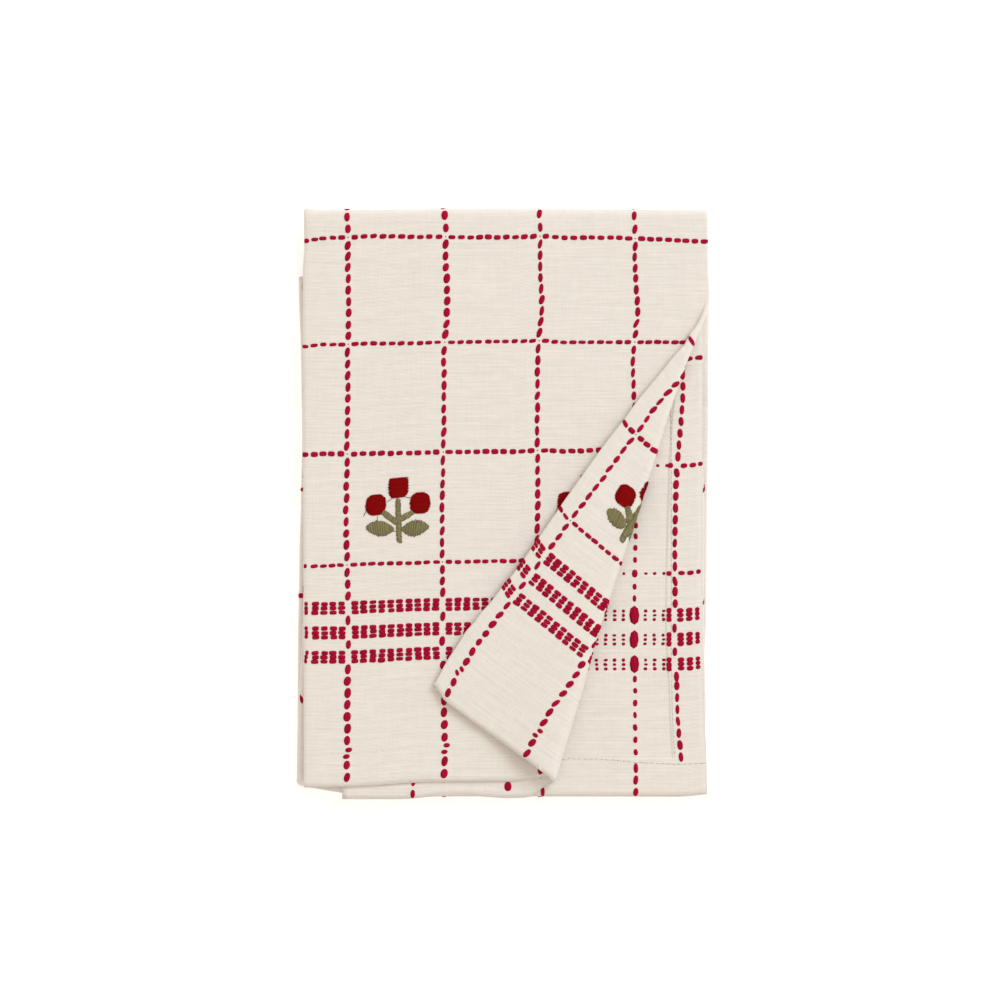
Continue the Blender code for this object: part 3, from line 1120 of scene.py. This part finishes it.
def reverse_uprights(yarn, rng, surface):
    """Where the upright yarn dips to the reverse: short, or long behind a crossing or a band."""
    dips = (dips_between(upright_centres(), 5.5 * MM), CROSSWISE, both_ends(BAND_CENTRES))
    counts = [len(kind) for kind in dips]
    places = np.concatenate(dips)
    lengths = np.repeat((2.8, 3.8, 7.5), counts) * MM
    widths = np.repeat((2.0, 3.2, 4.4), counts) * MM
    rows = []
    for line, place in enumerate(upright_places()):
        count = len(places)
        slipped = NEAR_SLIP * (places < NEAR_SLIP_TO) if line == 0 else 0.0
        rows.append(
            Placing(
                u=np.full(count, place),
                v=places + slipped + 0.1 * MM * rng.standard_normal(count),
                angle=math.pi / 2 + 0.08 * rng.standard_normal(count),
                length=lengths * uneven(rng, count, 0.07),
                width=widths * uneven(rng, count, 0.07),
                height=yarn.height * uneven(rng, count, 0.1),
                lift=surface,
                arch=0.0,
                tone=uneven(rng, count, 0.06),
            )
        )
    return woven(chained(*rows))


def reverse_row(yarn, rng, surface, v):
    u = dips_between(crosswise_centres(), 5 * MM)
    count = len(u)
    row = Placing(
        u=u + 0.1 * MM * rng.standard_normal(count),
        v=np.full(count, v),
        angle=0.1 * rng.standard_normal(count),
        length=1.6 * MM * uneven(rng, count, 0.1),
        width=1.45 * MM * uneven(rng, count, 0.1),
        height=yarn.height * 0.8,
        lift=surface,
        arch=0.0,
        tone=uneven(rng, count, 0.06),
    )
    return woven(row)


BANDS_END = 80 * MM
BAND_SHIFT = 0.7 * MM  # how far the bands are pulled in on the turned side hem
LINE_SHARE = 0.6  # of it, for the line between the bands
BAND_WIDTH, ROW_WIDTH = 1.16, 1.08
# How far the turned line's floats are pulled along it, in millimetres.
HEM_SLIP_V = (0, 20, 45, 48.5, 59.1, 69.5, 79.8, 84.7, 89.6, 95)
HEM_SLIP = (3.2, 3.2, 2.9, 1.75, 1.55, 1.0, 1.0, 1.1, 0.5, 0)
SLIPPED_LINE = 10  # its floats on the end hems lie aside and further in, and are thicker
SLIPPED_END = (1.5 * MM, 3.0 * MM, 1.6)


def turned_hem_rows(yarn, rng, surface):
    """The pattern past each edge, turned over onto the reverse."""
    common = dict(height=yarn.height, lift=surface, arch=0.0)
    v = upright_centres()
    v = v + np.interp(v / MM, HEM_SLIP_V, HEM_SLIP) * MM
    v = v[np.minimum(v, FLAT_LENGTH - v) > HEM + 0.5 * MM]
    stray = np.interp(v / MM, HEM_STRAY_V, HEM_STRAY) * MM
    stray = stray + LINE_SHARE * BAND_SHIFT * ((v > BAND_CENTRES[0]) & (v < BAND_CENTRES[-1]))
    from_line = np.array((2.9, -2.75, -6.5, -9.9)) * MM
    lengths = np.array((2.35, 3.0, 3.0, 2.1)) * MM
    widths = np.array((1.2, 1.05, 1.05, 1.05))
    bulk = np.interp(v / MM, BULK_V, HEM_LINE_BULK)
    rows = []
    for near in (True, False):
        count = len(v)
        across = HEM_LINE + (stray if near else 0 * v)
        rows.append(
            Placing(
                u=across if near else FLAT_WIDTH - across,
                v=v,
                angle=math.pi / 2 + 0.09 * rng.standard_normal(count),
                length=yarn.upright_length * uneven(rng, count, 0.05),
                width=yarn.upright_width * bulk * uneven(rng, count, 0.09),
                tone=uneven(rng, count, 0.06),
                **common,
            )
        )
        for place in np.concatenate((CROSSWISE, band_rows())):
            shift = np.interp(place / MM, HEM_STRAY_V, HEM_STRAY) * MM if near else 0.0
            banded = min(place, FLAT_LENGTH - place) < BANDS_END
            across = HEM_LINE + shift + from_line + (BAND_SHIFT if banded else 0.0)
            across = np.clip(across, 1.0 * MM, SIDE_HEM - 0.2 * MM)
            u = across if near else FLAT_WIDTH - across
            wide = yarn.cross_width * widths * (BAND_WIDTH if banded else ROW_WIDTH)
            rows.append(
                Placing(
                    u=u,
                    v=place + weft_stray(u, np.full(4, place)) + 0.1 * MM * rng.standard_normal(4),
                    angle=0.06 * rng.standard_normal(4),
                    length=lengths,
                    width=wide * uneven(rng, 4, 0.08),
                    tone=uneven(rng, 4, 0.06),
                    **common,
                )
            )
    ends = both_ends(np.array((1.9, 6.9, 11.9)) * MM)
    for line, place in enumerate(upright_places()):
        aside, inward, thick = SLIPPED_END if line == SLIPPED_LINE else (0.0, 0.0, 1.0)
        rows.append(
            Placing(
                u=place + warp_stray(np.full(len(ends), place), ends) - aside,
                v=ends + inward,
                angle=math.pi / 2 + 0.08 * rng.standard_normal(len(ends)),
                length=yarn.upright_length * uneven(rng, len(ends), 0.06),
                width=yarn.upright_width * thick * uneven(rng, len(ends), 0.1),
                tone=uneven(rng, len(ends), 0.06),
                **common,
            )
        )
    return rows


class TOWEL_OT_reverse(bpy.types.Operator):
    """Show the red yarn where it dips to the cloth's reverse, and on the turned hems"""

    bl_idname = "towel.reverse"
    bl_label = "Reverse"

    def execute(self, context):
        yarn = context.scene.towel_yarn
        cloth = context.scene.towel_cloth
        rng = np.random.default_rng(yarn.seed + 2)
        surface = cloth.thickness / 2
        rows = [reverse_row(yarn, rng, surface, v) for v in np.concatenate((CROSSWISE, band_rows()))]
        rows.append(reverse_uprights(yarn, rng, surface))
        everywhere = chained(*rows)
        inside = np.minimum(everywhere.u, FLAT_WIDTH - everywhere.u) > SIDE_HEM + 0.2 * MM
        inside &= np.minimum(everywhere.v, FLAT_LENGTH - everywhere.v) > HEM + 1.5 * MM
        red_piece("reverse_yarn", yarn_form(4, 6, 2.2), only(everywhere, inside), -1.0)
        hems = chained(*turned_hem_rows(yarn, rng, surface + cloth.hem_extra))
        red_piece("hem_yarn", yarn_form(6, 6, 2.2), hems, -1.0)
        return {"FINISHED"}


# ---------------------------------------------------------------- embroidery and hem stitches

# A shape in satin stitch: threads laid across an axis, with their half lengths at even steps
# from its start to its end, in millimetres right and up from the sprig's middle.
Satin = namedtuple("Satin", "start end reach lean pitch crown")
BLOOM_SQUARE = (3.9, 4.2, 4.35, 4.4, 4.4, 4.45, 4.4, 4.2, 3.7, 2.9)
BLOOM_ROUND = (1.9, 3.3, 3.95, 4.25, 4.4, 4.45, 4.45, 4.45, 4.4, 4.25, 3.95, 3.3, 2.0)
LEAF = (0.7, 1.8, 2.7, 3.2, 3.45, 3.5, 3.4, 3.05, 2.45, 1.6, 0.7)
BLOOMS = (
    Satin((-0.1, 12.75), (-0.05, 4.6), BLOOM_SQUARE, 1, 0.26, 0.28),
    Satin((-9.3, 5.9), (-9.3, -2.6), BLOOM_ROUND, 1, 0.26, 0.28),
    Satin((9.1, 6.4), (9.2, -2.2), BLOOM_ROUND, -1, 0.26, 0.28),
)
GREENS = (
    Satin((-6.4, -1.3), (-0.6, -5.9), (1.1, 1.35, 1.4, 1.4, 1.35, 1.2), 8, 0.5, 0.16),
    Satin((6.2, -1.5), (0.8, -4.7), (1.0, 1.2, 1.35, 1.4, 1.4, 1.3), 14, 0.5, 0.16),
    Satin((0.0, 3.9), (0.3, -14.2), (1.1, 1.35, 1.4, 1.4, 1.4, 1.4, 1.4, 1.4, 1.35, 1.3), -32, 0.52, 0.2),
    Satin((-13.3, -8.0), (-2.0, -8.5), LEAF, 10, 0.48, 0.24),
    Satin((1.6, -8.6), (12.6, -8.2), LEAF, -10, 0.48, 0.24),
)
# Loose threads carried from one shape to the next: from, to.
RED_CARRIES = (((3.2, 4.7), (5.6, 4.3)), ((-13.3, -0.6), (-14.3, -3.0)))
GREEN_CARRIES = (((-8.6, -3.2), (-8.7, -5.6)), ((-2.6, 4.0), (-5.0, 2.8)), ((-2.6, -9.5), (-0.8, -9.6)))
THREAD_HEIGHT = 0.17 * MM
SPRIG_CHECKS = (0, 2, 4, 6, 8, 10)
PULLED_SPRIG = (8, False)  # by its check and whether it is at the far end
SPRIG_PULL = np.array((0.65, -1.3)) * MM
SPRIG_LEAN = -0.15  # how far a point of the pulled sprig moves right for each step up
STALK_PULL = -1.5 * MM
LEAF_PULL = -1.4 * MM
SPRIG_PLACE = (21.7 * MM, 116.0 * MM)  # from the line on its left, and from the towel's end
STITCH_INSET = 14.2 * MM
SIDE_STITCH_INSET = 13.2 * MM
STITCH_PITCH = 2.3 * MM
FACE_STITCH_SINK = 0.12 * MM
STITCH_STRAY_U = (0, 26, 44, 60, 160)
STITCH_STRAY = (-1.0, 0.0, 1.5, 1.5, 0.0)  # towards the cloth's middle


def satin_threads(shape, rng, surface):
    """The threads of one shape, in metres from the sprig's middle."""
    start, end = np.array(shape.start), np.array(shape.end)
    run = end - start
    length = np.linalg.norm(run)
    count = int(length / shape.pitch)
    share = (np.arange(count) + 0.5) / count
    reach = np.interp(share, np.linspace(0, 1, len(shape.reach)), shape.reach)
    centre = start + share[:, None] * run + (0.05, 0.02) * rng.standard_normal((count, 2))
    across = math.atan2(run[1], run[0]) + math.pi / 2 + math.radians(shape.lean)
    crown = shape.crown * reach / max(shape.reach)
    return Placing(
        u=centre[:, 0] * MM,
        v=centre[:, 1] * MM,
        angle=across + 0.045 * shape.pitch * rng.standard_normal(count),
        length=2 * reach * MM * uneven(rng, count, 0.12 * shape.pitch),
        width=np.full(count, (1.5 * shape.pitch + 0.12) * MM),
        height=np.full(count, THREAD_HEIGHT),
        lift=surface + 0.14 * MM + 0.02 * MM * rng.random(count),
        arch=crown * MM,
        # Neighbouring threads are darker and lighter in turn: painted shade and light along the lines
        # between them, on top of their random tone.
        tone=uneven(rng, count, 0.2 * shape.pitch) * (1 + 0.3 * shape.pitch * (-1.0) ** np.arange(count)),
    )


def carried(ends, surface):
    """A loose thread from one point to another."""
    (x0, y0), (x1, y1) = ends
    one = np.ones(1)
    return Placing(
        u=one * (x0 + x1) / 2 * MM,
        v=one * (y0 + y1) / 2 * MM,
        angle=one * math.atan2(y1 - y0, x1 - x0),
        length=one * (math.hypot(x1 - x0, y1 - y0) + 0.6) * MM,
        width=one * 0.26 * MM,
        height=one * 0.1 * MM,
        lift=one * (surface + 0.05 * MM),
        arch=one * 0.08 * MM,
        tone=one * 0.9,
    )


def sprigs(shapes, carries, rng, surface):
    """The shapes of every sprig, at both ends of the towel."""
    placings = []
    for check in SPRIG_CHECKS:
        line = UPRIGHTS.first + UPRIGHTS.spacing * check
        for turned in (False, True):
            parts = [satin_threads(shape, rng, surface) for shape in shapes]
            pulled = (check, turned) == PULLED_SPRIG
            loose = [] if pulled else [carried(ends, surface) for ends in carries]
            one = chained(*parts, *loose)
            across, v = one.u, SPRIG_PLACE[1] + one.v
            if pulled:
                # Its stalks, and the leaf on the right still more, are drawn to the left.
                stalks = ease((one.u + 4 * MM) / (3 * MM)) * ease((5 * MM - one.v) / (5 * MM))
                leaf = ease((one.u - 0.5 * MM) / (2 * MM)) * stalks
                across = across + SPRIG_PULL[0] + SPRIG_LEAN * one.v + STALK_PULL * stalks + LEAF_PULL * leaf
                v = v + SPRIG_PULL[1]
            one = one._replace(
                u=line + SPRIG_PLACE[0] + across,
                v=FLAT_LENGTH - v if turned else v,
                angle=-one.angle if turned else one.angle,
            )
            placings.append(woven(one))
    return chained(*placings)


class TOWEL_OT_sprigs(bpy.types.Operator):
    """Embroider a sprig of three blooms in every other check near each end"""

    bl_idname = "towel.sprigs"
    bl_label = "Sprigs"

    def execute(self, context):
        threads = context.scene.towel_threads
        rng = np.random.default_rng(threads.seed)
        surface = context.scene.towel_cloth.thickness / 2
        form = yarn_form(7, 5, 3.2)
        for name, slot, colour, shapes, carries in (
            ("sprig_blooms", "red_thread", threads.blooms, BLOOMS, RED_CARRIES),
            ("sprig_greens", "green_thread", threads.greens, GREENS, GREEN_CARRIES),
        ):
            mesh = joined_mesh(name, form, sprigs(shapes, carries, rng, surface))
            piece = link(mesh, name, yarn_material(slot, colour, 2))
            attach(piece, "root")
        return {"FINISHED"}


def stitch_row(start, end, fixed, along_v, rng, lift):
    """A row of running stitches from start to end, along u or along v."""
    count = int((end - start) / STITCH_PITCH)
    at = start + (np.arange(count) + 0.5) * (end - start) / count
    u, v = (np.full(count, fixed), at) if along_v else (at, np.full(count, fixed))
    return Placing(
        u=u + 0.08 * MM * rng.standard_normal(count),
        v=v + 0.08 * MM * rng.standard_normal(count),
        angle=(math.pi / 2 if along_v else 0.0) + 0.05 * rng.standard_normal(count),
        length=STITCH_PITCH * 0.76 * uneven(rng, count, 0.05),
        width=np.full(count, 0.45 * MM),
        height=np.full(count, 0.2 * MM),
        lift=lift,
        arch=0.0,
        tone=uneven(rng, count, 0.03),
    )


def strayed(stitches):
    """The stitches of a hem whose line isn't quite straight."""
    return stitches._replace(v=stitches.v + np.interp(stitches.u / MM, STITCH_STRAY_U, STITCH_STRAY) * MM)


def pricked(stitches, along_v):
    """The stitches, and darker thread-coloured dots that paint shade into the small holes that they run
    into.
    """
    shift = STITCH_PITCH / 2
    # Tone 0.7 darkens the thread: painted shade in the holes.
    hole_shades = stitches._replace(
        u=stitches.u + (0 if along_v else shift),
        v=stitches.v + (shift if along_v else 0),
        length=0.65 * MM,
        width=0.5 * MM,
        height=0.12 * MM,
        tone=0.7,
    )
    return chained(stitches, hole_shades)


class TOWEL_OT_stitches(bpy.types.Operator):
    """Sew the hems, with stitches that show on both sides"""

    bl_idname = "towel.stitches"
    bl_label = "Hem stitches"

    def execute(self, context):
        cloth = context.scene.towel_cloth
        threads = context.scene.towel_threads
        rng = np.random.default_rng(threads.seed + 1)
        material = yarn_material("hem_thread", threads.hem, 2)
        for name, side, lift in (
            ("hem_stitches", 1.0, cloth.thickness / 2 - FACE_STITCH_SINK),
            ("hem_stitches_reverse", -1.0, cloth.thickness / 2 + cloth.hem_extra),
        ):
            rows = [
                (strayed(stitch_row(0.0, FLAT_WIDTH, STITCH_INSET, False, rng, lift)), False),
                (stitch_row(0.0, FLAT_WIDTH, FLAT_LENGTH - STITCH_INSET, False, rng, lift), False),
                (stitch_row(HEM, FLAT_LENGTH - HEM, SIDE_STITCH_INSET, True, rng, lift), True),
                (stitch_row(HEM, FLAT_LENGTH - HEM, FLAT_WIDTH - SIDE_STITCH_INSET, True, rng, lift), True),
            ]
            rows = [pricked(row, along_v) if side < 0 else row for row, along_v in rows]
            piece = link(joined_mesh(name, yarn_form(4, 5, 2.6), chained(*rows), side), name, material)
            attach(piece, "root")
        return {"FINISHED"}


# ---------------------------------------------------------------- stage


def plain_material(name, colour, roughness, glow=0.0):
    material = bpy.data.materials.new(name)
    material.use_nodes = True
    shader = material.node_tree.nodes["Principled BSDF"]
    shader.inputs["Base Color"].default_value = (*colour, 1.0)
    shader.inputs["Roughness"].default_value = roughness
    shader.inputs["Specular IOR Level"].default_value = 0.1
    shader.inputs["Emission Color"].default_value = (*colour, 1.0)
    shader.inputs["Emission Strength"].default_value = glow
    return material


def soft_light(name, size, power, colour, place, aim):
    lamp = bpy.data.lights.new(name, "AREA")
    lamp.color = colour
    lamp.shape = "DISK"
    lamp.size = size
    lamp.energy = power
    light = bpy.data.objects.new(name, lamp)
    light.location = place
    light.rotation_euler = (Vector(aim) - Vector(place)).to_track_quat("-Z", "Y").to_euler()
    bpy.context.scene.collection.objects.link(light)


VIEW_CENTRE = (-2.8, 3.0)  # from the towel's middle, in thousandths of the view's width
KEY_PLACE = (1.95, 1.8, 2.4)
KEY_COLOUR = (0.86, 1.0, 1.12)
SKY_COLOUR = (1.0, 0.94, 0.885)
SKY_STRENGTH = 0.86


class TOWEL_OT_stage(bpy.types.Operator):
    """Lay a pale floor, and set soft light and the camera straight above"""

    bl_idname = "towel.stage"
    bl_label = "Stage"

    def execute(self, context):
        settings = context.scene.towel_stage
        bm = bmesh.new()
        bmesh.ops.create_grid(bm, x_segments=1, y_segments=1, size=4.0)
        mesh = bpy.data.meshes.new("floor")
        bm.to_mesh(mesh)
        bm.free()
        floor = link(mesh, "floor", plain_material("floor", settings.floor, 0.9, settings.glow))

        world = bpy.data.worlds.new("studio")
        world.use_nodes = True
        sky = world.node_tree.nodes["Background"]
        sky.inputs["Color"].default_value = (*SKY_COLOUR, 1.0)
        sky.inputs["Strength"].default_value = SKY_STRENGTH
        context.scene.world = world
        soft_light("key", 2.2, 58.0, KEY_COLOUR, KEY_PLACE, (0, 0, 0))

        lens = bpy.data.cameras.new("camera")
        lens.lens = lens.sensor_width * settings.distance / settings.view_width
        lens.clip_end = 20.0
        camera = bpy.data.objects.new("camera", lens)
        centre = settings.view_width / 1000 * Vector(VIEW_CENTRE)
        camera.location = (centre.x, centre.y, settings.distance)
        context.scene.collection.objects.link(camera)
        context.scene.camera = camera
        context.scene.view_settings.view_transform = "Standard"
        context.scene.view_settings.look = "None"
        return {"FINISHED"}


# ---------------------------------------------------------------- add-on

BUILD_ORDER = (
    TOWEL_OT_stage,
    TOWEL_OT_cloth,
    TOWEL_OT_checks,
    TOWEL_OT_border,
    TOWEL_OT_reverse,
    TOWEL_OT_sprigs,
    TOWEL_OT_stitches,
)


class TOWEL_PT_panel(bpy.types.Panel):
    bl_idname = "TOWEL_PT_panel"
    bl_label = "Tea towel"
    bl_space_type = "VIEW_3D"
    bl_region_type = "UI"
    bl_category = "Towel"

    def draw(self, context):
        scene = context.scene
        for group in (scene.towel_cloth, scene.towel_yarn, scene.towel_threads, scene.towel_stage):
            box = self.layout.box()
            for name in group.bl_rna.properties.keys():
                if name not in {"rna_type", "name"}:
                    box.prop(group, name)
        for operator in BUILD_ORDER:
            self.layout.operator(operator.bl_idname)


CLASSES = (TowelCloth, TowelYarn, TowelThreads, TowelStage, *BUILD_ORDER, TOWEL_PT_panel)


def register():
    for cls in CLASSES:
        bpy.utils.register_class(cls)
    bpy.types.Scene.towel_cloth = PointerProperty(type=TowelCloth)
    bpy.types.Scene.towel_yarn = PointerProperty(type=TowelYarn)
    bpy.types.Scene.towel_threads = PointerProperty(type=TowelThreads)
    bpy.types.Scene.towel_stage = PointerProperty(type=TowelStage)


def unregister():
    for name in ("towel_stage", "towel_threads", "towel_yarn", "towel_cloth"):
        delattr(bpy.types.Scene, name)
    for cls in reversed(CLASSES):
        bpy.utils.unregister_class(cls)


def main():
    register()
    for operator in BUILD_ORDER:
        group, name = operator.bl_idname.split(".")
        getattr(getattr(bpy.ops, group), name)()


if __name__ == "__main__":
    main()
